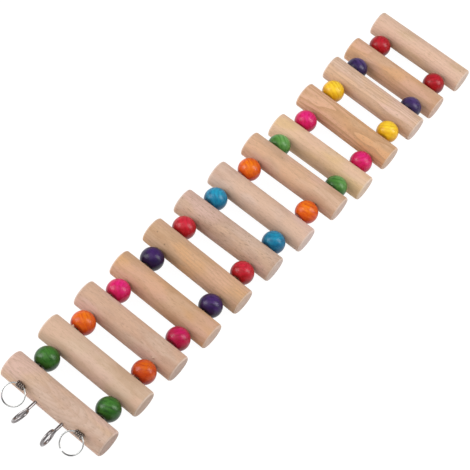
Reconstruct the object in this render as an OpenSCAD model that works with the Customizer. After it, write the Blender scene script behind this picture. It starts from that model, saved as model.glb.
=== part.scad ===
// A ladder bridge of round wooden rungs and painted wooden beads, strung on one bent wire.
// It lies on the floor in a gentle wave. +X runs from the hook end to the plain end,
// +Y to the left and +Z up.

/* [Rungs] */
// Length of each wooden rung
rung_len = 75; // [60:1:90]
// Diameter of each wooden rung
rung_d = 17.8; // [16:0.1:17.9]
// Radius of the sanded edge round each rung's two ends
rung_edge_r = 1.4; // [0.6:0.2:2.4]
// Distance from one rung's axis to the next
rung_pitch = 33.4; // [33.3:0.1:36]

/* [Beads] */
// Diameter of each wooden bead
bead_d = 15.2; // [12:0.1:15.3]
// Length of each bead between the flats at the ends of its bore
bead_len = 13.6; // [10:0.1:13.8]
// Diameter of the bore through each bead
bead_bore_d = 3; // [2.6:0.1:4]
// Depth of the countersink at each end of a bead's bore
bead_sink = 0.5; // [0.2:0.1:1]

/* [Wire] */
// Diameter of the wire that strings the rungs and beads together
wire_d = 1; // [0.8:0.1:1.1]
// Diameter of the holes that the wire passes through in the rungs
wire_hole_d = 1.8; // [1.6:0.1:2.4]
// Distance between the two sides of the wire
wire_spacing = 46.8; // [36:0.2:54]
// Turns that each end of the wire makes round its ring
wrap_turns = 4; // [2:1:4]
// Distance between neighbouring turns
wrap_pitch = 1.3; // [1.25:0.05:1.4]
// Distance that the wire moves outwards before its turns start
wrap_shift = 1; // [0:0.1:1.5]
// Angle that the wire climbs round the first rung's side before its turns start
wrap_climb = 27; // [15:1:40]

/* [Rings] */
// Outer diameter of the two wire rings
ring_od = 14.7; // [13:0.1:16]
// Diameter of the rings' wire
ring_wire_d = 0.9; // [0.7:0.1:1]
// Width of the gap where each ring's wire ends meet
ring_gap = 1.8; // [0.5:0.1:3]
// Place of the gap round each ring, left and right, in degrees from the wrap
ring_gap_at = [14, 161]; // [0:1:360]
// Slope of the rings down from the wraps
ring_drop = 37; // [0:1:70]

/* [Screw hooks] */
// Diameter of the hooks' wire
hook_wire_d = 2; // [1.4:0.1:2.4]
// Straight length of each hook's shank outside the wood, left and right
hook_shank = [6, 5.4]; // [3:0.1:10]
// Depth that a hook is screwed into the wood
hook_depth = 11; // [8:0.5:14]
// Length of the sharp point at the end of a hook's screw
hook_point = 3; // [2:0.5:4]
// Radius of a hook's bowl, to the middle of its wire
hook_bowl_r = 5; // [4:0.1:6]
// Radius of the bend between a hook's shank and its bowl
hook_neck_r = 2.6; // [2:0.1:4]
// Angle that a hook's bowl turns through, from the neck to its tip
hook_bowl_turn = 298; // [250:1:310]
// Distance between the two hooks along the first rung
hook_spacing = 20; // [14:1:24]
// Turn of each hook about its shank, left and right, in degrees from a bowl that opens upwards
hook_turn = [28, -2]; // [-90:1:90]
// Lean of each hook to the left, left and right, in degrees
hook_lean = [0.5, 0.5]; // [0:0.5:5]

/* [Lie on the floor] */
// Height of each rung off the floor, from the hook end to the plain end
rung_lift = [0, 1.5, 1, 0, 1, 1, 2, 6.5, 0, 3, 5.5, 0, 3]; // [0:0.5:7]
// Shift of each rung's middle to the left
rung_shift = [-1, 0, 0.5, 0, 1, 1.5, 0, -2, -3, -1.5, -0.5, 1, 1]; // [-3:0.5:3]
// Turn of each rung seen from above, in degrees
rung_turn = [-0.5, -0.5, -0.25, -0.5, -1, 1, 0.25, 1, 1, -0.75, -0.25, 0.75, 1.25]; // [-1.5:0.25:1.5]

/* [Hidden] */
WOOD = "burlywood";
STEEL = "silver";
PAINT = ["forestgreen", "darkorange", "deeppink", "indigo", "crimson", "darkcyan",
         "darkorange", "mediumseagreen", "deeppink", "gold", "indigo", "crimson"];
LEFT = 1;
RIGHT = -1;
rungs = len(rung_lift);
gaps = rungs - 1;
rung_r = rung_d / 2;
bead_r = bead_d / 2;
wire_r = wire_d / 2;
edge_steps = 5;
turned_fn = 72;
wire_fn = 32;
wire_sides = 10;
gap_steps = 5;
wrap_steps = 12;
hook_sides = 16;
hook_step = 9;

// Wrap: the wire bends up out of the hole, climbs the rung's side and winds round the ring.
// The coil's axis lies along the rung, and its bore leaves room for the ring's curve.
ring_r = (ring_od - ring_wire_d) / 2;
wrap_len = wrap_turns * wrap_pitch + wire_d;
wrap_sagitta = ring_r - sqrt(ring_r * ring_r - wrap_len * wrap_len / 4);
wrap_play = 0.12;
wrap_r = ring_wire_d / 2 + wrap_sagitta / 2 + wrap_play + wire_r;
climb_r = rung_r + wire_r + 0.15;
climb_bend_r = 1.1;
climb_bend_x = sqrt((climb_r - climb_bend_r) * (climb_r - climb_bend_r) - climb_bend_r * climb_bend_r);
climb_from = asin(climb_bend_r / (climb_r - climb_bend_r));
wrap_out = climb_r + wrap_r;
wrap_y = wire_spacing / 2 + wrap_shift - wrap_turns * wrap_pitch / 2;
ring_reach = ring_r - wrap_sagitta / 2;

// Hook: the bowl's centre lies on the shank's axis, and the neck's arc meets the bowl's smoothly
hook_arcs = hook_neck_r + hook_bowl_r;
hook_neck_angle = asin(hook_neck_r / hook_arcs);
hook_past = hook_arcs * cos(hook_neck_angle);
hook_r = hook_wire_d / 2;
hook_reach = max(hook_shank) + hook_past + hook_bowl_r + hook_r;

// Crossing: the wire runs from one side to the other behind the last rung
cross_out = rung_r + wire_r + 0.1;
cross_bend_r = 1.5;

function sq(v) = v * v;
function unit(v) = v / norm(v);
function step_x(i) = sqrt(sq(rung_pitch) - sq(rung_lift[i + 1] - rung_lift[i])
                          - sq(rung_shift[i + 1] - rung_shift[i]));
function run_x(i) = i == 0 ? 0 : run_x(i - 1) + step_x(i - 1);
function half_y(i) = rung_len / 2 * cos(rung_turn[i])
                     + (rung_r - rung_edge_r) * abs(sin(rung_turn[i]));

// The frame's origin is the middle of the whole ladder on the floor
low_x = -rung_r - hook_reach;
high_x = run_x(gaps) + cross_out + wire_r;
high_y = max([for (i = [0 : gaps]) rung_shift[i] + half_y(i)]);
low_y = min([for (i = [0 : gaps]) rung_shift[i] - half_y(i)]);
middle = [(low_x + high_x) / 2, (low_y + high_y) / 2, 0];

// Each rung's centre, the slope of its holes, and its axis and the holes' direction
function centre(i) = [run_x(i), rung_shift[i], rung_r + rung_lift[i]] - middle;
function gap_slope(i) = asin((rung_lift[i + 1] - rung_lift[i]) / rung_pitch);
function hole_slope(i) = i == 0 || i == gaps ? 0 : (gap_slope(i - 1) + gap_slope(i)) / 2;
function along(i) = [-sin(rung_turn[i]), cos(rung_turn[i]), 0];
function forward(i) = [cos(rung_turn[i]) * cos(hole_slope(i)),
                       sin(rung_turn[i]) * cos(hole_slope(i)), sin(hole_slope(i))];
function hole(i, side) = centre(i) + side * wire_spacing / 2 * along(i);
function leave(i, side) = hole(i, side) + rung_r * forward(i);
function enter(i, side) = hole(i, side) - rung_r * forward(i);

// Between two rungs the wire leaves one hole straight and enters the next one straight
function gap_point(i, side, t) =
    let (a = leave(i, side), b = enter(i + 1, side), reach = norm(b - a))
    (2 * t * t * t - 3 * t * t + 1) * a + (t * t * t - 2 * t * t + t) * reach * forward(i)
    + (3 * t * t - 2 * t * t * t) * b + (t * t * t - t * t) * reach * forward(i + 1);
function gap_path(i, side) = [for (k = [0 : gap_steps]) gap_point(i, side, k / gap_steps)];
function side_path(side) = [for (i = [0 : gaps - 1]) each gap_path(i, side)];

// A point beside the first rung: out from its axis, up, and outwards from the hole's middle
function beside(side, out, up, away) =
    centre(0) - out * forward(0) + [0, 0, up] + side * (wire_spacing / 2 + away) * along(0);
function bend_up(side) =
    [for (a = [0 : 15 : 90 + climb_from])
        beside(side, climb_bend_x + climb_bend_r * sin(a), climb_bend_r * (1 - cos(a)), 0)];
function climb(side) =
    [for (t = [0 : 0.25 : 0.75]) let (a = climb_from + t * (wrap_climb - climb_from))
        beside(side, climb_r * cos(a), climb_r * sin(a), wrap_shift * t)];
function wound(side) =
    [for (k = [0 : wrap_turns * wrap_steps]) let (a = 360 * k / wrap_steps)
        beside(side, wrap_out * cos(wrap_climb) - wrap_r * cos(a - wrap_climb),
               wrap_out * sin(wrap_climb) + wrap_r * sin(a - wrap_climb),
               wrap_shift - wrap_pitch * a / 360)];
function wrap_path(side) = turned_round(concat(bend_up(side), climb(side), wound(side)));

// The crossing bends out of one hole, runs along the last rung and bends into the other
function cross_point(side, out, in) =
    centre(gaps) + out * forward(gaps) + side * (wire_spacing / 2 - in) * along(gaps);
function cross_bend(side) =
    [for (a = [0 : 22.5 : 90])
        cross_point(side, cross_out - cross_bend_r * (1 - sin(a)), cross_bend_r * (1 - cos(a)))];
function turned_round(path) = [for (k = [len(path) - 1 : -1 : 0]) path[k]];

wire_path = concat(wrap_path(LEFT), side_path(LEFT), cross_bend(LEFT),
                   turned_round(cross_bend(RIGHT)), turned_round(side_path(RIGHT)),
                   turned_round(wrap_path(RIGHT)));

// Directions along a path, and side directions carried along it without twist
function heading(path, k) =
    unit(path[min(k + 1, len(path) - 1)] - path[max(k - 1, 0)]);
function square_to(n, t) = unit(n - (n * t) * t);
function sides_of(path) =
    [for (k = 0, n = square_to([0.2, 0.3, 1], heading(path, 0)); k < len(path);
          k = k + 1, n = k < len(path) ? square_to(n, heading(path, k)) : n) n];

// A round bar swept along a path, with its radius at each point
module swept(path, radii, count) {
    sides = sides_of(path);
    ring_points = [for (k = [0 : len(path) - 1])
        let (n = sides[k], b = cross(heading(path, k), n))
        for (s = [0 : count - 1])
            path[k] + radii[k] * (cos(s * 360 / count) * n + sin(s * 360 / count) * b)];
    skin = [for (k = [0 : len(path) - 2], s = [0 : count - 1])
        let (a = k * count + s, b = k * count + (s + 1) % count)
        for (face = [[a, a + count, b], [b, a + count, b + count]]) face];
    start_cap = [for (s = [0 : count - 1]) s];
    end_cap = [for (s = [count - 1 : -1 : 0]) (len(path) - 1) * count + s];
    polyhedron(points = ring_points, faces = concat([start_cap], skin, [end_cap]));
}

// A round bar bent to part of a circle about Z, centred on its middle line
module bent(r, wire, from, to) {
    rotate([0, 0, from])
        rotate_extrude(angle = to - from, $fn = turned_fn)
            translate([r, 0]) circle(r = wire, $fn = wire_fn);
}

// Places things in a rung's own frame, with its length along Y and its holes along X
module at_rung(i) {
    translate(centre(i)) rotate([0, -hole_slope(i), rung_turn[i]]) children();
}

// A rung's outline from its middle line outwards, with sanded end edges
function rung_outline() = concat(
    [[0, -rung_len / 2]],
    [for (k = [0 : edge_steps]) let (a = 90 * k / edge_steps)
        [rung_r - rung_edge_r + rung_edge_r * sin(a), -rung_len / 2 + rung_edge_r * (1 - cos(a))]],
    [for (k = [edge_steps : -1 : 0]) let (a = 90 * k / edge_steps)
        [rung_r - rung_edge_r + rung_edge_r * sin(a), rung_len / 2 - rung_edge_r * (1 - cos(a))]],
    [[0, rung_len / 2]]);

module dowel() {
    rotate([-90, 0, 0]) rotate_extrude($fn = turned_fn) polygon(rung_outline());
}

module wire_holes() {
    for (side = [LEFT, RIGHT])
        translate([-rung_d, side * wire_spacing / 2, 0])
            rotate([0, 90, 0]) cylinder(h = 2 * rung_d, d = wire_hole_d, $fn = wire_fn);
}

// Places a hook's own frame on the first rung: X out of the wood, Y towards the tip's side
module at_hook(side) {
    k = side == LEFT ? 0 : 1;
    at_rung(0) translate([-rung_r, side * hook_spacing / 2, 0])
        rotate([0, 0, 180 - hook_lean[k]]) rotate([90 - hook_turn[k], 0, 0]) children();
}

module rung(i) {
    color(WOOD) difference() {
        at_rung(i) dowel();
        at_rung(i) wire_holes();
        if (i == 0)
            for (side = [LEFT, RIGHT])
                at_hook(side) translate([-hook_depth, 0, 0])
                    rotate([0, 90, 0]) cylinder(h = hook_depth + rung_r, d = hook_wire_d, $fn = wire_fn);
    }
}

module bead(i, side) {
    a = leave(i, side);
    b = enter(i + 1, side);
    run = unit(b - a);
    color(PAINT[i]) translate((a + b) / 2)
        rotate([0, -asin(run[2]), atan2(run[1], run[0])]) rotate([0, 90, 0])
            difference() {
                intersection() {
                    sphere(r = bead_r, $fn = turned_fn);
                    cube([bead_d + 1, bead_d + 1, bead_len], center = true);
                }
                cylinder(h = bead_d, d = bead_bore_d, center = true, $fn = wire_fn);
                for (end = [0, 180])
                    rotate([end, 0, 0]) translate([0, 0, bead_len / 2 - bead_sink])
                        cylinder(h = 2 * bead_sink, r1 = bead_bore_d / 2,
                                 r2 = bead_bore_d / 2 + 2 * bead_sink, $fn = wire_fn);
            }
}

module rail_wire() {
    color(STEEL) swept(wire_path, [for (p = wire_path) wire_r], wire_sides);
}

module ring(side) {
    open = ring_gap / ring_r * 180 / PI / 2;
    from = ring_gap_at[side == LEFT ? 0 : 1];
    color(STEEL) at_rung(0)
        translate([-wrap_out * cos(wrap_climb), side * wrap_y, wrap_out * sin(wrap_climb)])
            rotate([0, -ring_drop, 0]) translate([-ring_reach, 0, 0])
                bent(ring_r, ring_wire_d / 2, from + open, from + 360 - open);
}

// A hook's middle line in its own frame, from the screw's point to the tip
function hook_neck_point(shank, a) =
    [shank + hook_neck_r * sin(a), hook_neck_r * (cos(a) - 1), 0];
function hook_bowl_point(shank, a) =
    [shank + hook_past - hook_bowl_r * cos(a), -hook_bowl_r * sin(a), 0];
function hook_path(shank) = concat(
    [[-hook_depth, 0, 0], [hook_point - hook_depth, 0, 0]],
    [for (a = [0 : hook_step : 90 - hook_neck_angle - 3]) hook_neck_point(shank, a)],
    [for (a = [hook_neck_angle : hook_step : hook_neck_angle + hook_bowl_turn]) hook_bowl_point(shank, a)]);

// Rounds off the last point of a path over a bar's radius, with the radii that go with it
function rounded_path(path, r) =
    let (last = path[len(path) - 1], way = unit(last - path[len(path) - 2]))
    concat(path, [for (a = [30, 60, 80]) last + r * sin(a) * way]);
function rounded_radii(path, r) =
    concat([0.15], [for (k = [1 : len(path) - 1]) r], [for (a = [30, 60, 80]) r * cos(a)]);

module hook(side) {
    path = hook_path(hook_shank[side == LEFT ? 0 : 1]);
    color(STEEL) at_hook(side)
        swept(rounded_path(path, hook_r), rounded_radii(path, hook_r), hook_sides);
}

rung(0);  // rung_01
rung(1);  // rung_02
rung(2);  // rung_03
rung(3);  // rung_04
rung(4);  // rung_05
rung(5);  // rung_06
rung(6);  // rung_07
rung(7);  // rung_08
rung(8);  // rung_09
rung(9);  // rung_10
rung(10);  // rung_11
rung(11);  // rung_12
rung(12);  // rung_13
bead(0, LEFT);  // bead_left_01
bead(1, LEFT);  // bead_left_02
bead(2, LEFT);  // bead_left_03
bead(3, LEFT);  // bead_left_04
bead(4, LEFT);  // bead_left_05
bead(5, LEFT);  // bead_left_06
bead(6, LEFT);  // bead_left_07
bead(7, LEFT);  // bead_left_08
bead(8, LEFT);  // bead_left_09
bead(9, LEFT);  // bead_left_10
bead(10, LEFT);  // bead_left_11
bead(11, LEFT);  // bead_left_12
bead(0, RIGHT);  // bead_right_01
bead(1, RIGHT);  // bead_right_02
bead(2, RIGHT);  // bead_right_03
bead(3, RIGHT);  // bead_right_04
bead(4, RIGHT);  // bead_right_05
bead(5, RIGHT);  // bead_right_06
bead(6, RIGHT);  // bead_right_07
bead(7, RIGHT);  // bead_right_08
bead(8, RIGHT);  // bead_right_09
bead(9, RIGHT);  // bead_right_10
bead(10, RIGHT);  // bead_right_11
bead(11, RIGHT);  // bead_right_12
rail_wire();
ring(LEFT);  // ring_left
ring(RIGHT);  // ring_right
hook(LEFT);  // hook_left
hook(RIGHT);  // hook_right
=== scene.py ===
import bpy
import bmesh
from math import asin, atan2, cos, degrees, pi, radians, sin, sqrt
from mathutils import Euler, Matrix, Vector


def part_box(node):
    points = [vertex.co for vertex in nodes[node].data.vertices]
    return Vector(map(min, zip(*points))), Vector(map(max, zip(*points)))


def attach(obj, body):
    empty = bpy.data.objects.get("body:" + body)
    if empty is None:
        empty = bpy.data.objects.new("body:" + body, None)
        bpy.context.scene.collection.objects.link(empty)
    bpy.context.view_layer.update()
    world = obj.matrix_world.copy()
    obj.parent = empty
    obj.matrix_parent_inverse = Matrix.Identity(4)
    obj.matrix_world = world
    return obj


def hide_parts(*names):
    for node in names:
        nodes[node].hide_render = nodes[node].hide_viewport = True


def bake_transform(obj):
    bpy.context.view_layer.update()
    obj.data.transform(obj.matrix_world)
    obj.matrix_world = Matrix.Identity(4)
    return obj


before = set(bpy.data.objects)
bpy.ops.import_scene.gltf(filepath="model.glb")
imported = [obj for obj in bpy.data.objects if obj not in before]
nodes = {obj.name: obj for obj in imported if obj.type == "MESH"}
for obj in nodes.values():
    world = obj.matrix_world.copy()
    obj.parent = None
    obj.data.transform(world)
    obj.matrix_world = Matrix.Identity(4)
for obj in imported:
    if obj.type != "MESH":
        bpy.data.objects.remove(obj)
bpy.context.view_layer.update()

# ---------------------------------------------------------------- sizes, in metres
MM = 0.001
RUNG_R, PITCH, BEAD_LEN = 8.9 * MM, 33.4 * MM, 13.6 * MM
WIRE_R, SIDE = 0.5 * MM, 23.4 * MM
RING_OD, RING_R = 14.7 * MM, 0.45 * MM
# How high each rung lies above the lowest ones (mm), and how far it is turned on the floor (degrees)
LIFT = [0, 1.5, 1, 0, 1, 1, 2, 6.5, 0, 3, 5.5, 0, 3]
TURN = [-0.5, -0.5, -0.25, -0.5, -1, 1, 0.25, 1, 1, -0.75, -0.25, 0.75, 1.25]
LAST = len(LIFT) - 1
LEFT, RIGHT = 1, -1
NAME = {LEFT: "left", RIGHT: "right"}


# ---------------------------------------------------------------- where the ladder's parts are
def along(i):
    """The way a rung runs, towards its left end."""
    return Vector((-sin(radians(TURN[i])), cos(radians(TURN[i])), 0))


def middle_of(node):
    """The middle of the box round a piece of the frame."""
    low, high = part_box(node)
    return (Vector(low) + Vector(high)) / 2


CENTRE = [middle_of("rung_%02d" % (i + 1)) for i in range(LAST + 1)]


def slope(i):
    """How steeply the ladder climbs from a rung to the next."""
    return asin((LIFT[i + 1] - LIFT[i]) * MM / PITCH)


def hole_slope(i):
    """How steeply a rung's holes climb: the mean of the two slopes beside it."""
    return 0 if i in (0, LAST) else (slope(i - 1) + slope(i)) / 2


def forward(i):
    """The way the holes run through a rung, towards the far end."""
    t, s = radians(TURN[i]), hole_slope(i)
    return Vector((cos(t) * cos(s), sin(t) * cos(s), sin(s)))


def hole(i, side):
    """The middle of a rung's hole."""
    return CENTRE[i] + side * SIDE * along(i)


def leave(i, side):
    """The hole's mouth on the rung's far side, where the wire leaves it."""
    return hole(i, side) + RUNG_R * forward(i)


def enter(i, side):
    """The hole's mouth on the rung's near side, where the wire enters it."""
    return hole(i, side) - RUNG_R * forward(i)


def gap_point(i, side, t):
    """A point of the wire between two rungs, t from 0 to 1. The curve meets both holes straight."""
    a, b = leave(i, side), enter(i + 1, side)
    reach = (b - a).length
    return ((2 * t**3 - 3 * t**2 + 1) * a + (t**3 - 2 * t**2 + t) * reach * forward(i)
            + (3 * t**2 - 2 * t**3) * b + (t**3 - t**2) * reach * forward(i + 1))


# ---------------------------------------------------------------- building materials
def new_material(name):
    """An empty material with one shader on its output."""
    m = bpy.data.materials.new(name)
    m.use_nodes = True
    tree = m.node_tree
    tree.nodes.clear()
    out = tree.nodes.new("ShaderNodeOutputMaterial")
    shader = tree.nodes.new("ShaderNodeBsdfPrincipled")
    tree.links.new(shader.outputs["BSDF"], out.inputs["Surface"])
    return m, tree, shader


def feed(tree, socket, value):
    """Link another node's output to a socket, or set the socket to a plain value."""
    if isinstance(value, bpy.types.NodeSocket):
        tree.links.new(value, socket)
    else:
        socket.default_value = value


def add(tree, kind, **inputs):
    """A shader node with its inputs fed by name."""
    n = tree.nodes.new("ShaderNode" + kind)
    for key, value in inputs.items():
        feed(tree, n.inputs[key], value)
    return n


def maths(tree, operation, *values):
    """One step of arithmetic on up to three values."""
    n = tree.nodes.new("ShaderNodeMath")
    n.operation = operation
    for socket, value in zip(n.inputs, values):
        feed(tree, socket, value)
    return n.outputs[0]


def vector_maths(tree, operation, *values):
    """One step of arithmetic on vectors."""
    n = tree.nodes.new("ShaderNodeVectorMath")
    n.operation = operation
    for socket, value in zip(n.inputs, values):
        feed(tree, socket, value)
    return n


def parts_of(tree, vector):
    """A vector's X, Y and Z."""
    split = tree.nodes.new("ShaderNodeSeparateXYZ")
    tree.links.new(vector, split.inputs[0])
    return split.outputs["X"], split.outputs["Y"], split.outputs["Z"]


def ramp(tree, value, low, high, out_low=0.0, out_high=1.0):
    """A smooth change from out_low, where the value is low, to out_high, where it is high."""
    n = tree.nodes.new("ShaderNodeMapRange")
    n.interpolation_type = "SMOOTHSTEP"
    for key, v in (("Value", value), ("From Min", low), ("From Max", high),
                   ("To Min", out_low), ("To Max", out_high)):
        feed(tree, n.inputs[key], v)
    return n.outputs["Result"]


def blend_colour(tree, factor, a, b):
    """Colour a where the factor is 0, colour b where it is 1."""
    n = tree.nodes.new("ShaderNodeMix")
    n.data_type = "RGBA"
    for place, value in ((0, factor), (6, a), (7, b)):
        feed(tree, n.inputs[place], (*value, 1) if isinstance(value, tuple) else value)
    return n.outputs[2]


def coordinates(tree, kind="Object"):
    """One kind of coordinates, such as a point's place on its object or the way its surface faces."""
    return tree.nodes.new("ShaderNodeTexCoord").outputs[kind]


def placed(tree, centre, turn):
    """Object coordinates, moved to a piece's own middle and turned to its own directions."""
    m = tree.nodes.new("ShaderNodeMapping")
    m.vector_type = "TEXTURE"
    m.inputs["Location"].default_value = centre
    m.inputs["Rotation"].default_value = turn
    tree.links.new(coordinates(tree), m.inputs["Vector"])
    return m.outputs["Vector"]


def stretched(tree, vector, scale, move):
    """Coordinates with a scale of their own each way, and moved."""
    m = tree.nodes.new("ShaderNodeMapping")
    m.inputs["Scale"].default_value = scale
    m.inputs["Location"].default_value = move
    tree.links.new(vector, m.inputs["Vector"])
    return m.outputs["Vector"]


def noise(tree, vector, scale, detail, rough=0.5, move=(0, 0, 0), distortion=0.0, out="Fac"):
    """Soft blotches. The scale is how many come to a metre each way, so a low one draws them out."""
    n = add(tree, "TexNoise", Vector=stretched(tree, vector, scale, move), Scale=1.0,
            Detail=detail, Roughness=rough, Distortion=distortion)
    return n.outputs[out]


def year_rings(tree, vector, direction, settings):
    """Rings round a tree's middle, each darkening outwards and ending at an edge."""
    n = tree.nodes.new("ShaderNodeTexWave")
    n.wave_type, n.rings_direction, n.wave_profile = "RINGS", direction, "SAW"
    tree.links.new(vector, n.inputs["Vector"])
    for key, value in settings.items():
        n.inputs[key].default_value = value
    return n.outputs["Fac"]


def bump(tree, shader, height, distance, strength, after=None):
    """A surface that looks raised where the height is great, on top of an earlier relief if there is one."""
    n = tree.nodes.new("ShaderNodeBump")
    n.inputs["Strength"].default_value = strength
    n.inputs["Distance"].default_value = distance
    tree.links.new(height, n.inputs["Height"])
    if after is not None:
        tree.links.new(after, n.inputs["Normal"])
    tree.links.new(n.outputs["Normal"], shader.inputs["Normal"])
    return n.outputs["Normal"]


def spot(tree, vector, centre, size, ragged):
    """1 at a place, falling to 0 at about its size, with a ragged edge."""
    distance = vector_maths(tree, "DISTANCE", vector, centre).outputs["Value"]
    distance = maths(tree, "ADD", distance, maths(tree, "MULTIPLY", ragged, size * 0.9))
    return ramp(tree, distance, size * 0.6, size * 1.6, 1.0, 0.0)


# ---------------------------------------------------------------- wood
# Each rung's bare wood: a pale tone, a dark tone, a warm patch tone, where the middle of its
# tree was (mm), and how strongly its year lines and its flecks show
WOODS = [
    ((0.66, 0.475, 0.37), (0.53, 0.34, 0.245), (0.68, 0.46, 0.31), (1, -14), 0.45, 0.55),
    ((0.67, 0.48, 0.35), (0.55, 0.36, 0.235), (0.69, 0.46, 0.33), (-22, 12), 0.22, 0.40),
    ((0.66, 0.465, 0.35), (0.54, 0.335, 0.235), (0.66, 0.42, 0.29), (9, -27), 0.40, 0.65),
    ((0.64, 0.405, 0.26), (0.53, 0.305, 0.165), (0.68, 0.385, 0.19), (-12, 24), 0.40, 0.50),
    ((0.64, 0.415, 0.265), (0.52, 0.31, 0.175), (0.68, 0.39, 0.20), (25, 9), 0.50, 0.55),
    ((0.64, 0.455, 0.35), (0.51, 0.33, 0.235), (0.63, 0.42, 0.29), (-17, -21), 0.36, 0.95),
    ((0.71, 0.515, 0.41), (0.59, 0.385, 0.285), (0.70, 0.47, 0.34), (19, 17), 0.25, 0.55),
    ((0.67, 0.445, 0.31), (0.54, 0.33, 0.205), (0.70, 0.43, 0.27), (-26, 8), 0.42, 0.50),
    ((0.77, 0.545, 0.36), (0.65, 0.42, 0.25), (0.78, 0.53, 0.29), (11, 22), 0.30, 0.45),
    ((0.70, 0.445, 0.27), (0.55, 0.305, 0.155), (0.72, 0.40, 0.20), (-15, 18), 0.92, 0.60),
    ((0.74, 0.525, 0.395), (0.57, 0.36, 0.24), (0.74, 0.49, 0.32), (21, -12), 0.80, 0.60),
    ((0.70, 0.445, 0.29), (0.55, 0.305, 0.17), (0.74, 0.42, 0.22), (-10, 26), 0.50, 0.50),
    ((0.73, 0.52, 0.365), (0.59, 0.38, 0.24), (0.76, 0.50, 0.30), (16, 14), 0.35, 0.55),
]
# Where the year lines curve round: rung, how steeply they close up, and the place along it (mm).
# On the others they run nearly straight.
SWIRL = {0: (0.30, 21)}
STRAIGHT = (0.05, 0)
# How much darker the end faces of the nearest rungs are, and those of the others
END_SHADE = {0: -0.18, 1: -0.14, 2: -0.12}
FAR_END_SHADE = -0.01
# Small dark specks and pin knots: rung, place along it and round it (mm and degrees), size in mm
SPECKS = [(0, -33.5, 128, 0.5), (0, 9, 150, 0.35), (4, 31, 118, 0.7), (4, 22.5, 140, 0.8), (5, -12, 75, 0.4),
          (7, 12, 95, 0.5), (9, -8, 60, 0.5), (10, 20, 100, 0.4), (12, -33, 100, 0.6), (12, 14, 80, 0.35)]
KNOT, SINGED = (0.17, 0.085, 0.04), (0.20, 0.11, 0.06)
MOUTH_SPOT = 1.0 * MM


def bare_wood(i):
    """Sanded wood, turned to a round stick: growth rings round the tree's middle, pores and flecks along it."""
    pale, dark, warm, (px, pz), lines_show, flecks_show = WOODS[i]
    m, tree, shader = new_material("bare_wood_%02d" % (i + 1))
    own = placed(tree, CENTRE[i], (0, 0, radians(TURN[i])))

    # The year lines waver along the rung, because the tree wasn't quite straight
    drift = noise(tree, own, (70, 16, 70), 2.0, move=(i * 3.1, i * 1.7, 0), out="Color")
    waver = vector_maths(tree, "MULTIPLY_ADD", drift, (0.007, 0, 0.007), own).outputs[0]
    steep, bend_at = SWIRL.get(i, STRAIGHT)
    rings_at = stretched(tree, waver, (1, steep, 1), (px * MM, -steep * bend_at * MM, pz * MM))
    years = year_rings(tree, rings_at, "SPHERICAL",
                       {"Scale": 170.0, "Distortion": 1.0, "Detail": 2.0, "Detail Scale": 1.0})

    # Fine marks along the grain, and slow changes of tone
    pores = noise(tree, own, (2600, 130, 2600), 3.0, 0.6, move=(i, i, i))
    flecks = noise(tree, own, (1700, 300, 1700), 2.0, 0.55, move=(i * 5, 0, i))
    specks = noise(tree, own, (3200, 900, 3200), 2.0, 0.6, move=(i, i * 3, 0))
    clouds = noise(tree, own, (110, 30, 110), 3.0, 0.6, move=(i * 2, i, 0))
    patches = noise(tree, own, (75, 34, 75), 2.0, 0.5, move=(i, 0, i * 4))
    blush = noise(tree, own, (60, 26, 60), 1.0, 0.5, move=(i * 7, i, 0))

    rosy = (pale[0] * 1.06, pale[1] * 0.99, pale[2] * 1.10)
    fleck_dark = tuple(c * 0.72 for c in dark)
    fleck_pale = tuple(min(1, c * 1.14) for c in pale)
    colour = blend_colour(tree, ramp(tree, clouds, 0.36, 0.70), pale, dark)
    for mark, low, high, strength, tone in (
            (patches, 0.44, 0.60, 0.95, warm),
            (blush, 0.48, 0.62, 0.7, rosy),
            (years, 0.35, 1.0, lines_show, dark),
            (flecks, 0.54, 0.72, flecks_show * 0.85, fleck_dark),
            (specks, 0.60, 0.74, flecks_show * 0.7, fleck_dark),
            (specks, 0.42, 0.28, 0.35, fleck_pale),
            (pores, 0.58, 0.75, 0.5, fleck_dark)):
        colour = blend_colour(tree, ramp(tree, mark, low, high, 0.0, strength), colour, tone)
    for rung, y, turn, size in SPECKS:
        if rung == i:
            where = (RUNG_R * cos(radians(turn)), y * MM, RUNG_R * sin(radians(turn)))
            mark = spot(tree, own, where, size * MM, clouds)
            colour = blend_colour(tree, maths(tree, "MULTIPLY", mark, 0.7), colour, KNOT)

    # Across the ends the wood is greyer and duller; the edge round them is paler, partly a sanded edge and
    # partly a painted highlight where the rounded edge catches the light
    end = maths(tree, "ABSOLUTE", parts_of(tree, coordinates(tree, "Normal"))[1])
    shade = END_SHADE.get(i, FAR_END_SHADE)
    grey = (0.50 * pale[0] + 0.20 + shade, 0.50 * pale[1] + 0.185 + shade, 0.50 * pale[2] + 0.195 + shade)
    colour = blend_colour(tree, ramp(tree, end, 0.85, 0.97, 0.0, 0.8), colour, grey)
    rim_wear_and_sheen = maths(tree, "MULTIPLY", ramp(tree, end, 0.25, 0.55), ramp(tree, end, 0.75, 0.93, 1.0, 0.0))
    rim_wear_and_sheen_tone = tuple(min(1, 0.55 * c + 0.36) for c in pale)
    colour = blend_colour(tree, maths(tree, "MULTIPLY", rim_wear_and_sheen, 0.6 if i else 0.35), colour, rim_wear_and_sheen_tone)

    # The drilled holes have a darker, singed edge
    for side in (LEFT, RIGHT):
        for mouth in (leave(i, side), enter(i, side)):
            local = mouth - CENTRE[i]
            local.rotate(Euler((0, 0, -radians(TURN[i]))))
            mark = spot(tree, own, tuple(local), MOUTH_SPOT, specks)
            colour = blend_colour(tree, maths(tree, "MULTIPLY", mark, 0.55), colour, SINGED)

    tree.links.new(colour, shader.inputs["Base Color"])
    tree.links.new(ramp(tree, clouds, 0.2, 0.8, 0.58, 0.74), shader.inputs["Roughness"])
    shader.inputs["Specular IOR Level"].default_value = 0.35
    lines = bump(tree, shader, pores, 0.12 * MM, 0.55)
    bump(tree, shader, flecks, 0.18 * MM, 0.45, lines)
    return m


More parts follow.
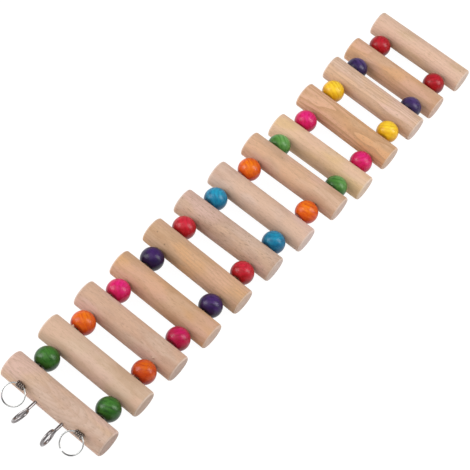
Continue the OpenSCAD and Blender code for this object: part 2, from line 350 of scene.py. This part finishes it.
# ---------------------------------------------------------------- paint
# Each pair's paint and how much the wood's lines show through it
GREEN, ORANGE, PINK = (0.026, 0.130, 0.010), (0.80, 0.125, 0.0005), (0.72, 0.006, 0.135)
PURPLE, RED, BLUE = (0.026, 0.005, 0.075), (0.52, 0.006, 0.018), (0.006, 0.24, 0.42)
YELLOW, PALE_GREEN, DEEP_PURPLE = (0.93, 0.55, 0.012), (0.095, 0.29, 0.052), (0.046, 0.020, 0.120)
PAINTS = [(GREEN, 0.5), (ORANGE, 0.5), (PINK, 0.5), (PURPLE, 0.3), (RED, 0.5), (BLUE, 0.5),
          (ORANGE, 0.6), (PALE_GREEN, 0.9), (PINK, 0.6), (YELLOW, 0.8), (DEEP_PURPLE, 0.6), (RED, 0.45)]
# The paint's depth on the left and the right bead of each pair: 1 for the plain colour, less for a deeper coat
SHADES = [(0.94, 0.94), (0.93, 0.76), (0.93, 0.70), (0.93, 1.0), (1.0, 0.96), (0.97, 0.87),
          (0.97, 0.97), (1.0, 0.89), (0.96, 0.93), (1.0, 1.0), (0.94, 0.96), (0.87, 0.83)]
# Bare wood where the paint is chipped, and the painted shade inside the bore
BARE, BORE_PAINTED_SHADE = (0.50, 0.35, 0.22), (0.16, 0.10, 0.06)
# Where the paint and its painted light and shade change (mm): heights above the bead's middle (painted light
# on the crown, painted shade below), distances from its middle along it (painted shade at the ends), and
# distances from the middle of the bore. The last number is how ragged the edges are.
CROWN_FROM, CROWN_TO, UNDER_TO = 5.6, 7.6, 0
END_FROM, END_TO = 6.7, 7.6
BORE_FROM, BORE_TO, CHIP_FROM, CHIP_TO, POOL_FROM, POOL_TO = 1.52, 1.60, 2.6, 2.9, 3.4, 5.2
RAGGED = 1.2 * MM


def bead_turn(i, side):
    """A bead's directions: its bore points along the wire to the next rung."""
    run = (enter(i + 1, side) - leave(i, side)).normalized()
    return Euler((0, -asin(run.z), atan2(run.y, run.x)))


def bead_paint(i, side):
    """Semi-gloss paint on a wooden bead: the wood's lines show through it, and the bore is bare. It carries
    painted light on the crown, and painted shade on the under half, round the ends and inside the bore.
    """
    paint, show = PAINTS[i]
    shade = SHADES[i][0 if side == LEFT else 1]
    paint = tuple(shade * c ** (2 - shade) for c in paint)
    deep = tuple(0.85 * c**1.3 for c in paint)
    thin = tuple(min(1.0, 1.05 * c**0.84) for c in paint)
    m, tree, shader = new_material("paint_%s_%02d" % (NAME[side], i + 1))
    own = placed(tree, (leave(i, side) + enter(i + 1, side)) / 2, bead_turn(i, side))
    seed = i * 2.3 + side

    lines = noise(tree, own, (150, 1500, 1500), 3.0, 0.55, move=(seed, 0, 0))
    tree_middle = ((-13 + 5 * (i % 3)) * MM, side * (4 + i % 5) * MM, 0)
    years = year_rings(tree, stretched(tree, own, (1, 1, 0.35), tree_middle), "Z",
                       {"Scale": 120.0, "Distortion": 3.4, "Detail": 3.0, "Detail Scale": 0.9,
                        "Detail Roughness": 0.65, "Phase Offset": seed})
    streaks = noise(tree, own, (330, 110, 330), 4.0, 0.65, move=(0, seed, 0), distortion=0.5)
    share = show * 0.5
    bands = maths(tree, "MULTIPLY_ADD", years, share, maths(tree, "MULTIPLY", streaks, 1 - share))
    clouds = noise(tree, own, (190, 190, 190), 2.0, move=(0, 0, seed))
    x, y, z = parts_of(tree, own)

    # Painted light: the crown is painted lighter, where the light falls on it
    crown = ramp(tree, z, CROWN_FROM * MM, CROWN_TO * MM, 0.0, 0.85)
    colour = blend_colour(tree, crown, paint, tuple(min(1.0, 1.12 * c**0.75) for c in paint))
    colour = blend_colour(tree, ramp(tree, bands, 0.44, 0.74, 0.0, 0.85), colour, deep)
    colour = blend_colour(tree, ramp(tree, clouds, 0.48, 0.68, 0.0, 0.7), colour, thin)
    colour = blend_colour(tree, ramp(tree, lines, 0.55, 0.74, 0.0, 0.5), colour, deep)
    # Painted shade: the under half is painted darker, where it turns from the light
    under = ramp(tree, z, CROWN_FROM * MM, UNDER_TO * MM, 0.0, 0.85)
    colour = blend_colour(tree, under, colour, tuple(0.65 * c**1.6 for c in paint))
    # Painted shade: almost black round the two ends, where they meet the rungs
    ends = maths(tree, "ADD", maths(tree, "ABSOLUTE", x), maths(tree, "MULTIPLY", clouds, RAGGED))
    painted_end_shade = tuple(0.16 * c for c in deep)
    colour = blend_colour(tree, ramp(tree, ends, END_FROM * MM, END_TO * MM, 0.0, 0.8), colour, painted_end_shade)
    # Paint is chipped to bare wood at the mouth of the bore, and pools darker round it
    out = maths(tree, "SQRT", maths(tree, "ADD", maths(tree, "POWER", y, 2.0), maths(tree, "POWER", z, 2.0)))
    ragged = maths(tree, "ADD", out, maths(tree, "MULTIPLY", clouds, RAGGED))
    colour = blend_colour(tree, ramp(tree, ragged, POOL_FROM * MM, POOL_TO * MM, 0.6, 0.0), colour, deep)
    colour = blend_colour(tree, ramp(tree, ragged, CHIP_FROM * MM, CHIP_TO * MM, 1.0, 0.0), colour, BARE)
    # Painted shade: the inside of the bore is painted dark
    colour = blend_colour(tree, ramp(tree, out, BORE_FROM * MM, BORE_TO * MM, 1.0, 0.0), colour, BORE_PAINTED_SHADE)

    tree.links.new(colour, shader.inputs["Base Color"])
    tree.links.new(ramp(tree, bands, 0.3, 0.9, 0.27, 0.36), shader.inputs["Roughness"])
    shader.inputs["Specular IOR Level"].default_value = 0.36
    fine = bump(tree, shader, lines, 0.10 * MM, 0.5)
    bump(tree, shader, bands, 0.12 * MM, 0.5, fine)
    return m


# ---------------------------------------------------------------- steel
# The tone of the painted dark reflections on bright wire
DARK_REFLECTION = (0.085, 0.08, 0.08)


def bright_wire(name, tone, rough, streak, dark_reflections=()):
    """Drawn steel wire: faint draw lines along it, small scratches and duller patches, and a painted dark
    reflection at each place given.
    """
    m, tree, shader = new_material(name)
    where = coordinates(tree)
    patches = noise(tree, where, (240, 240, 240), 3.0, 0.6)
    scratch = noise(tree, where, (700, 5200, 5200), 2.0, 0.5)
    colour = blend_colour(tree, ramp(tree, patches, 0.35, 0.75), tone, tuple(c * 0.66 for c in tone))
    # Painted dark reflections, at the given places
    for place, size in dark_reflections:
        mark = spot(tree, where, place, size, patches)
        colour = blend_colour(tree, maths(tree, "MULTIPLY", mark, 0.85), colour, DARK_REFLECTION)
    tree.links.new(colour, shader.inputs["Base Color"])
    shader.inputs["Metallic"].default_value = 1.0
    tree.links.new(ramp(tree, patches, 0.3, 0.8, rough, rough + 0.14), shader.inputs["Roughness"])
    bump(tree, shader, scratch, streak, 0.35)
    return m


# Each ring has one dark reflection painted on its lower arc
ring_middle = {side: middle_of("ring_" + NAME[side]) for side in (LEFT, RIGHT)}
STEEL = bright_wire("drawn_steel_wire", (0.32, 0.295, 0.275), 0.22, 0.03 * MM)
RING_STEEL = bright_wire("ring_wire", (0.60, 0.61, 0.60), 0.24, 0.02 * MM,
                         [(tuple(ring_middle[RIGHT] + Vector((-5.2, -3.4, -4.0)) * MM), 4.6 * MM),
                          (tuple(ring_middle[LEFT] + Vector((-5.2, 2.6, -4.0)) * MM), 3.6 * MM)])
# A darker copy of the steel for the wound ends: painted shade where the rung and the tight turns shade them
WOUND_STEEL_SHADED = bright_wire("wound_wire_painted_shade", (0.21, 0.175, 0.155), 0.2, 0.03 * MM)
HOOK_STEEL = bright_wire("hook_plating", (0.32, 0.295, 0.295), 0.20, 0.02 * MM)


# ---------------------------------------------------------------- pieces grown with Geometry Nodes
def node_group(name, inputs):
    """An empty Geometry Nodes group with named inputs, and its two ends."""
    tree = bpy.data.node_groups.new(name, "GeometryNodeTree")
    for label, kind in (("Geometry", "Geometry"), *inputs):
        tree.interface.new_socket(label, in_out="INPUT", socket_type="NodeSocket" + kind)
    tree.interface.new_socket("Geometry", in_out="OUTPUT", socket_type="NodeSocketGeometry")
    return tree, tree.nodes.new("NodeGroupInput"), tree.nodes.new("NodeGroupOutput")


def turn_outwards(mesh):
    """Join the points that lie on each other and turn every face outwards."""
    b = bmesh.new()
    b.from_mesh(mesh)
    bmesh.ops.remove_doubles(b, verts=b.verts, dist=1e-7)
    bmesh.ops.recalc_face_normals(b, faces=b.faces)
    b.to_mesh(mesh)
    b.free()
    mesh.shade_smooth()


def grown(name, mesh, tree, settings):
    """The piece that a node group makes from a mesh of points, with the group's inputs set by name."""
    base = bpy.data.objects.new(name + "_base", mesh)
    bpy.context.collection.objects.link(base)
    modifier = base.modifiers.new("grow", "NODES")
    modifier.node_group = tree
    socket = {s.name: s.identifier for s in tree.interface.items_tree if s.in_out == "INPUT"}
    for label, value in settings.items():
        modifier[socket[label]] = value
    made = bpy.data.meshes.new_from_object(base.evaluated_get(bpy.context.evaluated_depsgraph_get()))
    bpy.data.objects.remove(base)
    turn_outwards(made)
    piece = bpy.data.objects.new(name, made)
    bpy.context.collection.objects.link(piece)
    return piece


# ---------------------------------------------------------------- wires that follow a path
def wire_tree(material):
    """Geometry Nodes that turn a line of points into a round wire with closed ends."""
    tree, start, end = node_group("round_wire_" + material.name, (("Wire radius", "Float"), ("Sides", "Int")))
    make, link = tree.nodes.new, tree.links.new
    line, circle = make("GeometryNodeMeshToCurve"), make("GeometryNodeCurvePrimitiveCircle")
    taper = make("GeometryNodeInputNamedAttribute")
    solid, smooth = make("GeometryNodeCurveToMesh"), make("GeometryNodeSetShadeSmooth")
    real, finish = make("GeometryNodeRealizeInstances"), make("GeometryNodeSetMaterial")
    taper.data_type = "FLOAT"
    taper.inputs["Name"].default_value = "taper"
    solid.inputs["Fill Caps"].default_value = True
    finish.inputs["Material"].default_value = material
    link(start.outputs["Geometry"], line.inputs[0])
    link(start.outputs["Wire radius"], circle.inputs["Radius"])
    link(start.outputs["Sides"], circle.inputs["Resolution"])
    link(line.outputs[0], solid.inputs["Curve"])
    link(taper.outputs["Attribute"], solid.inputs["Scale"])
    link(circle.outputs["Curve"], solid.inputs["Profile Curve"])
    link(solid.outputs[0], smooth.inputs[0])
    link(smooth.outputs[0], real.inputs[0])
    link(real.outputs[0], finish.inputs["Geometry"])
    link(finish.outputs[0], end.inputs[0])
    return tree


TREES = {}
WIRE_SIDES, HOOK_SIDES = 14, 28


def wire(name, points, radius, material, sides=WIRE_SIDES, taper=None):
    """A round wire along a line of points, thinner where its taper is under 1."""
    if material.name not in TREES:
        TREES[material.name] = wire_tree(material)
    mesh = bpy.data.meshes.new(name + "_line")
    mesh.from_pydata([tuple(p) for p in points], [(k, k + 1) for k in range(len(points) - 1)], [])
    thickness = mesh.attributes.new("taper", "FLOAT", "POINT")
    thickness.data.foreach_set("value", taper or [1.0] * len(points))
    return grown(name, mesh, TREES[material.name], {"Wire radius": radius, "Sides": sides})


def beside(side, out, up, away):
    """A place beside the first rung: out of its near side, up, and outwards along it from the hole."""
    return CENTRE[0] - out * forward(0) + Vector((0, 0, up)) + side * (SIDE + away) * along(0)


# The wound ends: the wire leaves the hole, bends up round the rung and winds round the ring's wire
WRAP_TURNS, WRAP_PITCH, WRAP_SHIFT, WRAP_CLIMB = 4, 1.3 * MM, 1 * MM, radians(27)
BEND_STEPS, CLIMB_STEPS, TURN_STEPS = 10, 8, 28
# The space that the bent wire leaves to the ring, to the first rung and to the last one
RING_SPACE, RUNG_SPACE, CROSS_SPACE = 0.12 * MM, 0.15 * MM, 0.08 * MM
ring_mid_r = RING_OD / 2 - RING_R
wrap_len = WRAP_TURNS * WRAP_PITCH + 2 * WIRE_R
sagitta = ring_mid_r - sqrt(ring_mid_r**2 - wrap_len**2 / 4)
wrap_r = RING_R + sagitta / 2 + RING_SPACE + WIRE_R
climb_r = RUNG_R + WIRE_R + RUNG_SPACE
bend_r = 1.1 * MM
bend_x = sqrt((climb_r - bend_r) ** 2 - bend_r**2)
climb_from = asin(bend_r / (climb_r - bend_r))
wrap_out = climb_r + wrap_r


def wrap_points(side):
    """One wound end, from the middle of the first rung's hole to the wire's end."""
    points = [hole(0, side)]
    for k in range(BEND_STEPS + 1):
        a = k * (pi / 2 + climb_from) / BEND_STEPS
        points.append(beside(side, bend_x + bend_r * sin(a), bend_r * (1 - cos(a)), 0))
    for k in range(1, CLIMB_STEPS):
        t = k / CLIMB_STEPS
        a = climb_from + t * (WRAP_CLIMB - climb_from)
        points.append(beside(side, climb_r * cos(a), climb_r * sin(a), WRAP_SHIFT * t))
    for k in range(WRAP_TURNS * TURN_STEPS + 1):
        a = 2 * pi * k / TURN_STEPS
        points.append(beside(side, wrap_out * cos(WRAP_CLIMB) - wrap_r * cos(a - WRAP_CLIMB),
                             wrap_out * sin(WRAP_CLIMB) + wrap_r * sin(a - WRAP_CLIMB),
                             WRAP_SHIFT - WRAP_PITCH * a / (2 * pi)))
    return points


CROSS_OUT, CROSS_BEND, CROSS_STEPS = RUNG_R + WIRE_R + CROSS_SPACE, 1.5 * MM, 10


def crossing_points():
    """The wire behind the last rung: out of one hole, close along the rung and into the other."""
    half = {}
    for side in (LEFT, RIGHT):
        half[side] = [hole(LAST, side)]
        for k in range(CROSS_STEPS + 1):
            a = k * pi / 2 / CROSS_STEPS
            out, inward = CROSS_OUT - CROSS_BEND * (1 - sin(a)), CROSS_BEND * (1 - cos(a))
            half[side].append(CENTRE[LAST] + out * forward(LAST) + side * (SIDE - inward) * along(LAST))
    return half[LEFT] + half[RIGHT][::-1]


# The screw hooks, in millimetres and degrees in their own frame: X out of the wood, Y towards the tip's side
HOOK_SHANK, HOOK_TURN, HOOK_LEAN = {LEFT: 6, RIGHT: 5.4}, {LEFT: 28, RIGHT: -2}, 0.5
HOOK_SIDE, NECK_R, BOWL_R, BOWL_TURN, HOOK_R, TIP_R = 10, 2.6, 5, 298, 0.96, 0.94
NECK_STEPS, BOWL_STEPS, TIP_STEPS = 24, 99, 10
# The screw's points along X, each with its thickness in parts of the wire's: pointed, then a little thicker
SCREW = [(-10.8, 0.15), (-8, 1.02), (-0.3, 1.02), (0.05, 1.02), (0.5, 1)]


def hook(side):
    """A screw hook: the screw in the wood, a shank, a neck that bends back and a bowl with a round tip."""
    shank, arcs = HOOK_SHANK[side], NECK_R + BOWL_R
    neck = degrees(asin(NECK_R / arcs))
    past = arcs * cos(radians(neck))
    points = [(x, 0, 0) for x, thick in SCREW]
    taper = [thick for x, thick in SCREW]
    for k in range(NECK_STEPS):
        a = radians(k * (90 - neck) / NECK_STEPS)
        points.append((shank + NECK_R * sin(a), NECK_R * (cos(a) - 1), 0))
    for k in range(BOWL_STEPS + 1):
        a = radians(neck + BOWL_TURN * k / BOWL_STEPS)
        points.append((shank + past - BOWL_R * cos(a), -BOWL_R * sin(a), 0))
    taper += [1] * (NECK_STEPS + BOWL_STEPS + 1)
    last, way = Vector(points[-1]), (Vector(points[-1]) - Vector(points[-2])).normalized()
    for k in range(1, TIP_STEPS):
        a = radians(90 * k / TIP_STEPS)
        points.append(tuple(last + TIP_R * sin(a) * way))
        taper.append(cos(a))
    place = (Matrix.Translation(CENTRE[0]) @ Matrix.Rotation(radians(TURN[0]), 4, "Z")
             @ Matrix.Translation((-RUNG_R, side * HOOK_SIDE * MM, 0))
             @ Matrix.Rotation(radians(180 - HOOK_LEAN), 4, "Z")
             @ Matrix.Rotation(radians(90 - HOOK_TURN[side]), 4, "X"))
    piece = wire("screw_hook_" + NAME[side], [place @ (Vector(p) * MM) for p in points],
                 HOOK_R * MM, HOOK_STEEL, HOOK_SIDES, taper)
    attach(piece, "step_01")
    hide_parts("hook_" + NAME[side])


# Points along each wire between two rungs, and a small distance past each end of the space between a bead and
# the next rung
GAP_STEPS, BEND_REACH = 16, 0.5 * MM
wire_pieces = []
for side in (LEFT, RIGHT):
    hook(side)
    start = wire("wire_wrap_" + NAME[side], wrap_points(side), WIRE_R, WOUND_STEEL_SHADED)
    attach(start, "step_01")
    wire_pieces.append(start)
    for i in range(LAST):
        line = [gap_point(i, side, k / GAP_STEPS) for k in range(GAP_STEPS + 1)]
        near = enter(i + 1, side)
        gap = ((near - leave(i, side)).length - BEAD_LEN) / 2
        part = wire("wire_%s_%02d" % (NAME[side], i + 1), [hole(i, side)] + line + [hole(i + 1, side)],
                    WIRE_R, STEEL)
        tuple(near - (gap + BEND_REACH) * forward(i + 1))
        tuple(near + BEND_REACH * forward(i + 1))
        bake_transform(part)
        wire_pieces.append(part)
back = wire("wire_crossing", crossing_points(), WIRE_R, STEEL)
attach(back, "step_13")
wire_pieces.append(back)
for piece in wire_pieces:
    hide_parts("rail_wire")


# ---------------------------------------------------------------- torn fibres and splinters
def fibre_tree(material):
    """Geometry Nodes that set a small pointed fibre on each point, turned and sized by chance."""
    tree, start, end = node_group("torn_fibres_" + material.name,
                                  (("Fibre length", "Float"), ("Fibre thickness", "Float"), ("Seed", "Int")))
    make, link = tree.nodes.new, tree.links.new
    cone, place = make("GeometryNodeMeshCone"), make("GeometryNodeInstanceOnPoints")
    turn, size = make("FunctionNodeRandomValue"), make("FunctionNodeRandomValue")
    aim, grow = make("GeometryNodeInputNamedAttribute"), make("GeometryNodeInputNamedAttribute")
    aimed, sized = make("ShaderNodeVectorMath"), make("ShaderNodeVectorMath")
    real, finish = make("GeometryNodeRealizeInstances"), make("GeometryNodeSetMaterial")
    aim.data_type, grow.data_type, sized.operation = "FLOAT_VECTOR", "FLOAT", "SCALE"
    aim.inputs["Name"].default_value = "aim"
    grow.inputs["Name"].default_value = "grow"
    cone.inputs["Vertices"].default_value = 5
    for chance, low, high in ((turn, (-0.16, -0.3, -0.4), (0.16, 0.3, 0.4)),
                              (size, (0.7, 0.7, 0.35), (1.5, 1.1, 1.0))):
        chance.data_type = "FLOAT_VECTOR"
        chance.inputs[0].default_value, chance.inputs[1].default_value = low, high
        link(start.outputs["Seed"], chance.inputs["Seed"])
    finish.inputs["Material"].default_value = material
    link(start.outputs["Fibre length"], cone.inputs["Depth"])
    link(start.outputs["Fibre thickness"], cone.inputs["Radius Bottom"])
    link(aim.outputs[0], aimed.inputs[0])
    link(turn.outputs[0], aimed.inputs[1])
    link(start.outputs["Geometry"], place.inputs["Points"])
    link(cone.outputs["Mesh"], place.inputs["Instance"])
    link(aimed.outputs[0], place.inputs["Rotation"])
    link(size.outputs[0], sized.inputs[0])
    link(grow.outputs["Attribute"], sized.inputs["Scale"])
    link(sized.outputs[0], place.inputs["Scale"])
    link(place.outputs[0], real.inputs[0])
    link(real.outputs[0], finish.inputs["Geometry"])
    link(finish.outputs[0], end.inputs[0])
    return tree


# The fibres at each mouth of a rung: how many, how far apart in usual steps, and how long (mm).
# The second rung is torn the most.
FIBRES = {1: (9, 1.5, 1.2)}
USUAL_FIBRES = (6, 1, 0.9)
FIBRE_THICK, FIRST_SEED = 0.13 * MM, 11
# How far the first fibres stand from the hole's middle, the usual step to the next ones, and how far
# they scatter up and down (mm), then how much a fibre runs along the wood and how much it rises
FIRST_FIBRE, FIBRE_STEP, SCATTER, FLAT, RISE = 0.95, 0.28, 0.45, 0.96, 0.26
# Splinters stand up in tufts: rung, side, from where round the rung and over how much (degrees),
# from and to along it (mm from the hole), how many and how big
SPLINTERS = [(1, LEFT, 33, 4, 1.1, 1.9, 5, 1.9), (1, LEFT, 30, 6, 3.3, 3.6, 2, 1.1),
             (1, LEFT, 30, 8, -2.9, -0.6, 3, 0.9), (1, RIGHT, 33, 4, 1.7, 2.1, 3, 1.5),
             (1, RIGHT, 30, 8, -0.9, 0.4, 3, 0.9), (2, RIGHT, 146, 6, 0.3, 1.5, 6, 2.0)]


def aim_at(lean):
    """The turn that points a fibre along a direction."""
    return tuple(lean.to_track_quat("Z", "Y").to_euler())


def mouth_fibres(i):
    """Each mouth has a few fibres on its two sides along the rung, lying almost flat on the wood."""
    count, spread, _ = FIBRES.get(i, USUAL_FIBRES)
    radial = Vector((cos(hole_slope(i)), 0, sin(hole_slope(i))))
    lift = Vector((-radial.z, 0, radial.x))
    for side in (LEFT, RIGHT):
        for way in (1, -1):
            # The first rung's near mouths and the last one's far mouths are clean
            if (i, way) in ((0, -1), (LAST, 1)):
                continue
            for k in range(count):
                end = 1 if k % 2 else -1
                step = (FIRST_FIBRE + FIBRE_STEP * (k // 2) * spread) * MM
                up = (SCATTER * sin(2.4 * k + i + side)) * MM
                out = way * radial * sqrt(RUNG_R**2 - up**2) + lift * up
                lean = (FLAT * end * along(i) + RISE * out.normalized()).normalized()
                yield CENTRE[i] + (side * SIDE + end * step) * along(i) + out, aim_at(lean), 1.0


def splinters(i):
    """The tufts of a rung, each splinter leaning out of the wood and to its own side."""
    for side, round_from, reach, low, high, count, big in [row[1:] for row in SPLINTERS if row[0] == i]:
        for k in range(count):
            turn = radians(round_from + reach * ((k * 5) % 7) / 6)
            outward, around = Vector((cos(turn), 0, sin(turn))), Vector((-sin(turn), 0, cos(turn)))
            step = low + (high - low) * k / (count - 1)
            point = CENTRE[i] + (side * SIDE + step * MM) * along(i) + 0.995 * RUNG_R * outward
            lean = outward + 0.4 * around * (1 if turn < pi / 2 else -1) + 0.35 * sin(3 * k + i) * along(i)
            yield point, aim_at(lean), big * (1 + 0.25 * sin(5 * k))


def torn_fibres(i, tree):
    """All fibres and splinters of a rung, as one piece."""
    points, aims, growth = zip(*mouth_fibres(i), *splinters(i))
    mesh = bpy.data.meshes.new("mouths")
    mesh.from_pydata([tuple(p) for p in points], [], [])
    aim = mesh.attributes.new("aim", "FLOAT_VECTOR", "POINT")
    aim.data.foreach_set("vector", [v for turn in aims for v in turn])
    mesh.attributes.new("grow", "FLOAT", "POINT").data.foreach_set("value", growth)
    piece = grown("torn_fibres_%02d" % (i + 1), mesh, tree,
                  {"Fibre length": FIBRES.get(i, USUAL_FIBRES)[2] * MM,
                   "Fibre thickness": FIBRE_THICK, "Seed": FIRST_SEED + i})
    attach(piece, "step_%02d" % (i + 1))


def fibre_wood():
    """The pale inside of the wood, streaked along and a little darker in places."""
    m, tree, shader = new_material("torn_wood")
    fine = noise(tree, coordinates(tree), (2500, 500, 2500), 3.0, 0.6)
    colour = blend_colour(tree, ramp(tree, fine, 0.35, 0.7), (0.88, 0.72, 0.58), (0.68, 0.50, 0.36))
    tree.links.new(colour, shader.inputs["Base Color"])
    shader.inputs["Roughness"].default_value = 0.8
    shader.inputs["Specular IOR Level"].default_value = 0.2
    bump(tree, shader, fine, 0.04 * MM, 0.4)
    return m


# ---------------------------------------------------------------- every piece gets its material
def dress(name, material):
    """Give a piece of the frame its one material."""
    slots = nodes[name].data.materials
    slots.clear()
    slots.append(material)


fibres = fibre_tree(fibre_wood())
for i in range(LAST + 1):
    torn_fibres(i, fibres)
    dress("rung_%02d" % (i + 1), bare_wood(i))
for side in (LEFT, RIGHT):
    for i in range(LAST):
        dress("bead_%s_%02d" % (NAME[side], i + 1), bead_paint(i, side))
    dress("ring_" + NAME[side], RING_STEEL)

# ---------------------------------------------------------------- floor
FLOOR, FLOOR_SIZE = -0.05 * MM, 6
FLOOR_TONE, FLOOR_GLOW, GLOW_SHARE = 0.86, 1.12, 0.86
bpy.ops.mesh.primitive_plane_add(size=FLOOR_SIZE, location=(0, 0, FLOOR))
floor = bpy.context.object
floor.name = "studio_floor"
m, tree, shader = new_material("studio_white")
shader.inputs["Base Color"].default_value = (FLOOR_TONE, FLOOR_TONE, FLOOR_TONE, 1)
shader.inputs["Roughness"].default_value = 0.9
shader.inputs["Specular IOR Level"].default_value = 0.1
# Seen by the camera or in a shine the floor is mostly white by itself, with a little of the shadows left
path = tree.nodes.new("ShaderNodeLightPath")
seen = maths(tree, "MAXIMUM", path.outputs["Is Camera Ray"],
             maths(tree, "MAXIMUM", path.outputs["Is Glossy Ray"], path.outputs["Is Transmission Ray"]))
white = add(tree, "Emission", Color=(1, 1, 1, 1), Strength=FLOOR_GLOW)
mixed = tree.nodes.new("ShaderNodeMixShader")
tree.links.new(maths(tree, "MULTIPLY", seen, GLOW_SHARE), mixed.inputs[0])
tree.links.new(shader.outputs[0], mixed.inputs[1])
tree.links.new(white.outputs[0], mixed.inputs[2])
tree.links.new(mixed.outputs[0], tree.nodes["Material Output"].inputs["Surface"])
floor.data.materials.append(m)

# ---------------------------------------------------------------- surroundings
# A white horizon, like the cove behind a studio floor, under a softer, dimmer ceiling
COVE_FROM, COVE_TO, CEILING = 0.12, 0.30, 0.29
world = bpy.context.scene.world or bpy.data.worlds.new("studio")
bpy.context.scene.world = world
world.use_nodes = True
tree = world.node_tree
tree.nodes.clear()
height = parts_of(tree, coordinates(tree, "Generated"))[2]
sky = add(tree, "Background", Color=(1, 1, 1, 1), Strength=ramp(tree, height, COVE_FROM, COVE_TO, 1.0, CEILING))
out = tree.nodes.new("ShaderNodeOutputWorld")
tree.links.new(sky.outputs[0], out.inputs["Surface"])

# ---------------------------------------------------------------- camera
# Where it stands round the ladder and above the floor, how it is tilted, how far away it is, and its
# lens, in the picture's pixels
AZ, EL, ROLL, DISTANCE, FOCAL_PX, PICTURE_PX = radians(18.6), radians(51.47), radians(22.83), 1.022, 1603.0, 470
SENSOR = 36
# It looks at a point a little nearer than the ladder's middle and to its left
NEARER, LEFTWARDS = 21.7 * MM, 1.65 * MM
target = Vector(((CENTRE[0].x + CENTRE[LAST].x) / 2 - NEARER, LEFTWARDS, 0))
back_way = Vector((-cos(EL) * cos(AZ), -cos(EL) * sin(AZ), sin(EL)))
ahead = -back_way
right = ahead.cross(Vector((0, 0, 1))).normalized()
up = right.cross(ahead)
right, up = right * cos(ROLL) + up * sin(ROLL), -right * sin(ROLL) + up * cos(ROLL)
camera = bpy.data.objects.new("camera", bpy.data.cameras.new("camera"))
bpy.context.collection.objects.link(camera)
camera.matrix_world = Matrix((right, up, back_way)).transposed().to_4x4()
camera.location = target + back_way * DISTANCE
camera.data.sensor_width = SENSOR
camera.data.lens = FOCAL_PX / PICTURE_PX * SENSOR
camera.data.clip_start, camera.data.clip_end = 0.05, 10
bpy.context.scene.camera = camera

# ---------------------------------------------------------------- lamps
LAMP_DISTANCE = 1.3


def softbox(name, across, upward, width, height, power):
    """A soft lamp whose shine sits at (across, upward) on a ball, in parts of its radius."""
    n = right * across + up * upward + back_way * sqrt(1 - across**2 - upward**2)
    way = 2 * n.dot(back_way) * n - back_way
    lamp = bpy.data.objects.new(name, bpy.data.lights.new(name, "AREA"))
    bpy.context.collection.objects.link(lamp)
    lamp.data.shape = "RECTANGLE"
    lamp.data.size, lamp.data.size_y, lamp.data.energy = width, height, power
    lamp.location = way.normalized() * LAMP_DISTANCE
    lamp.rotation_euler = (-way).to_track_quat("-Z", "Y").to_euler()


softbox("overhead_softbox", across=-0.13, upward=0.22, width=1.3, height=1.3, power=3.6)
softbox("left_softbox", across=-0.48, upward=0.20, width=0.62, height=1.15, power=9.9)
softbox("right_softbox", across=0.46, upward=0.15, width=0.52, height=1.1, power=9.1)
bpy.context.scene.view_settings.view_transform = "Standard"
